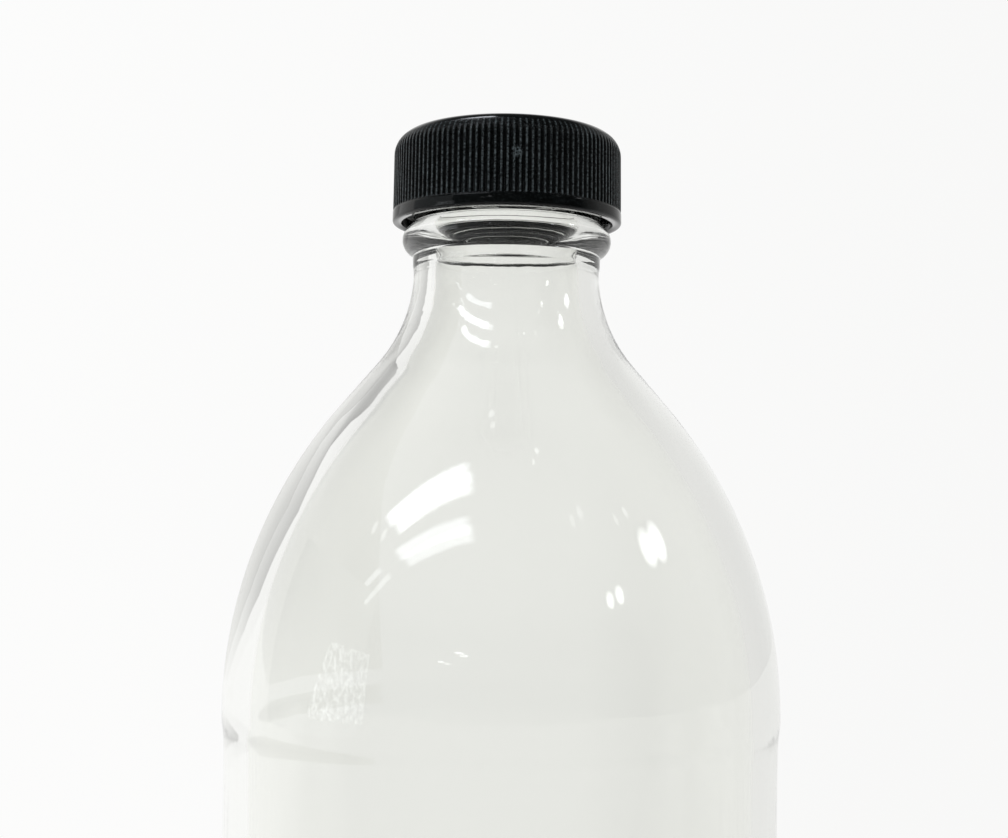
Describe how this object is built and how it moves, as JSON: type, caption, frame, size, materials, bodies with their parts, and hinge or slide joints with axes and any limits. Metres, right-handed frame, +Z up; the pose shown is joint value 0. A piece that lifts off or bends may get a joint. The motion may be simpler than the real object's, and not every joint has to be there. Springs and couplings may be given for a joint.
{
  "type": "glass bottle with screw cap",
  "caption": "Clear empty glass bottle with a long rounded shoulder, recessed label panel, carrying bead and a black ribbed screw cap.",
  "frame": {"origin": "middle of the ring the bottle stands on", "axes": "+Z up along the axis of the bottle, +X to the right and +Y away seen from the front"},
  "size_m": [0.0732, 0.0732, 0.2],
  "materials": {
    "clear_glass": "smooth, clear, faint grey-green cast",
    "black_plastic": "satin ribs, glossy top edge and lower band"
  },
  "bodies": {
    "root": {"glass_bottle": "clear_glass", "screw_cap": "black_plastic"}
  },
  "joints": []
}
